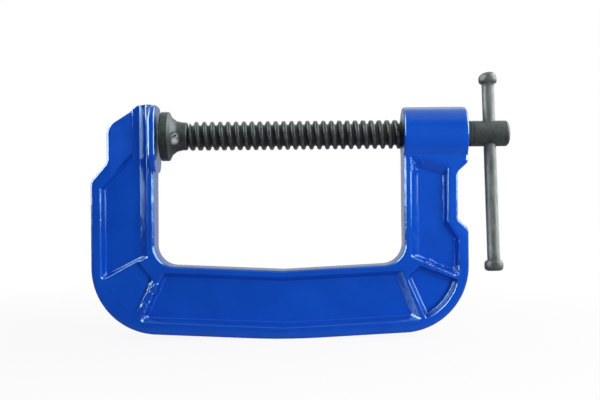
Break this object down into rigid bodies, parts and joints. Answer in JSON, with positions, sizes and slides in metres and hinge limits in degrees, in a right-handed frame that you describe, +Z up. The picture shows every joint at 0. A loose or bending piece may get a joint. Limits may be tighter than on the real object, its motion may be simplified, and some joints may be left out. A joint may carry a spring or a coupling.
{
  "type": "g-clamp",
  "caption": "Heavy-duty G-clamp: pocketed cast frame, long clamping screw with sliding tommy bar, and a swivelling pressure shoe.",
  "frame": {"origin": "centre of the anvil's flat face, on the screw's axis", "axes": "+X from the anvil along the screw to the tommy bar, +Y across the frame away from the camera, +Z up from the spine"},
  "size_m": [0.288, 0.0374, 0.1839],
  "materials": {
    "frame_paint": "glossy enamel over a rough casting",
    "blackened_steel": "black oxide, oiled",
    "bar_steel": "black oxide, drawn bar",
    "shoe_steel": "blackened forging",
    "pin_steel": "bright rolled spring steel"
  },
  "bodies": {
    "frame": {"frame": "frame_paint"},
    "shoe_pins": {"shoe_pin_front": "pin_steel", "shoe_pin_rear": "pin_steel"},
    "spindle": {"spindle": "blackened_steel"},
    "tommy_bar": {"tommy_bar": "bar_steel"},
    "swivel_shoe": {"swivel_shoe": "shoe_steel"}
  },
  "joints": [
    {"name": "spindle_feed", "type": "slide", "parent": "frame", "child": "shoe_pins", "axis": [1, 0, 0], "range_m": [-0.001, 0.1482]},
    {"name": "spindle_turn", "type": "hinge", "parent": "shoe_pins", "child": "spindle", "pos_m": [0.1, 0, 0], "axis": [1, 0, 0], "range_deg": [-65.5, 9700.5]},
    {"name": "shoe_tilt", "type": "hinge", "parent": "shoe_pins", "child": "swivel_shoe", "pos_m": [0.0128, 0, 0], "axis": [0, 1, 0], "range_deg": [-4, 4]},
    {"name": "bar_slide", "type": "slide", "parent": "spindle", "child": "tommy_bar", "axis": [0, 0.1219, 0.9925], "range_m": [-0.0252, 0.0784]}
  ],
  "couplings": [
    {"joint": "spindle_turn", "follows": "spindle_feed", "rad_per_m": 1142.4}
  ]
}
